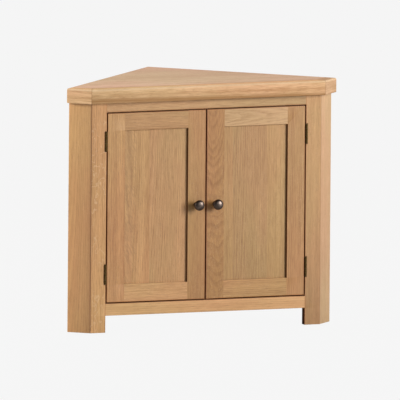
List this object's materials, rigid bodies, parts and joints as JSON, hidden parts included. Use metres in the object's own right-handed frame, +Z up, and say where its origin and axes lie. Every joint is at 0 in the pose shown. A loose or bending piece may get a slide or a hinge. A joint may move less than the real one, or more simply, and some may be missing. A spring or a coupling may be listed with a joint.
{
  "type": "corner cupboard",
  "caption": "Oak corner cupboard with a five-sided plan, a thick overhanging top, panelled doors on butt hinges, round knobs, a shelf inside and short feet.",
  "frame": {"origin": "on the floor, under the middle of the bounding box: halfway across, and halfway from the crown of the knobs to the back corner", "axes": "+X runs to the right along the front, -Y points out of the front face, +Y points back into the corner of the room, +Z is up"},
  "size_m": [0.9208, 0.5392, 0.78],
  "materials": {
    "face_oak": "solid light oak, satin lacquer",
    "top_oak": "solid light oak boards, satin lacquer",
    "panel_oak": "oak veneered in vertical strips, satin lacquer",
    "inside_oak": "plain oak, thin matt lacquer",
    "dark_bronze": "dark antique bronze, waxed",
    "zinc_steel": "bright zinc plate",
    "brown_plastic": "moulded brown plastic"
  },
  "bodies": {
    "carcass": {"base_board": "inside_oak", "bottom_rail": "face_oak", "door_stop_batten": "inside_oak", "front_base_batten": "inside_oak", "left_back_panel": "inside_oak", "left_base_batten": "inside_oak", "left_front_shelf_pin": "zinc_steel", "left_front_stile": "face_oak", "left_lower_hinge_frame_leaf": "dark_bronze", "left_lower_hinge_pin": "dark_bronze", "left_magnetic_catch": "brown_plastic", "left_rear_shelf_pin": "zinc_steel", "left_return_board": "face_oak", "left_top_batten": "inside_oak", "left_upper_hinge_frame_leaf": "dark_bronze", "left_upper_hinge_pin": "dark_bronze", "rear_post": "inside_oak", "right_back_panel": "inside_oak", "right_base_batten": "inside_oak", "right_front_shelf_pin": "zinc_steel", "right_front_stile": "face_oak", "right_lower_hinge_frame_leaf": "dark_bronze", "right_lower_hinge_pin": "dark_bronze", "right_magnetic_catch": "brown_plastic", "right_rear_shelf_pin": "zinc_steel", "right_return_board": "face_oak", "right_top_batten": "inside_oak", "right_upper_hinge_frame_leaf": "dark_bronze", "right_upper_hinge_pin": "dark_bronze", "shelf": "inside_oak", "top_board": "top_oak", "top_front_edging": "face_oak", "top_left_edging": "face_oak", "top_left_packer": "inside_oak", "top_rail": "face_oak", "top_right_edging": "face_oak", "top_right_packer": "inside_oak"},
    "left_door": {"left_door_bottom_rail": "face_oak", "left_door_hinge_stile": "face_oak", "left_door_meeting_stile": "face_oak", "left_door_panel": "panel_oak", "left_door_top_rail": "face_oak", "left_knob": "dark_bronze", "left_knob_screw": "zinc_steel", "left_lower_hinge_door_leaf": "dark_bronze", "left_strike_plate": "zinc_steel", "left_upper_hinge_door_leaf": "dark_bronze"},
    "right_door": {"right_door_bottom_rail": "face_oak", "right_door_hinge_stile": "face_oak", "right_door_meeting_stile": "face_oak", "right_door_panel": "panel_oak", "right_door_top_rail": "face_oak", "right_knob": "dark_bronze", "right_knob_screw": "zinc_steel", "right_lower_hinge_door_leaf": "dark_bronze", "right_strike_plate": "zinc_steel", "right_upper_hinge_door_leaf": "dark_bronze"}
  },
  "joints": [
    {"name": "left_door_hinge", "type": "hinge", "parent": "carcass", "child": "left_door", "pos_m": [-0.34225, -0.23561, 0.3985], "axis": [0, 0, -1], "range_deg": [0, 135]},
    {"name": "right_door_hinge", "type": "hinge", "parent": "carcass", "child": "right_door", "pos_m": [0.34225, -0.23561, 0.3985], "axis": [0, 0, 1], "range_deg": [0, 135]}
  ]
}
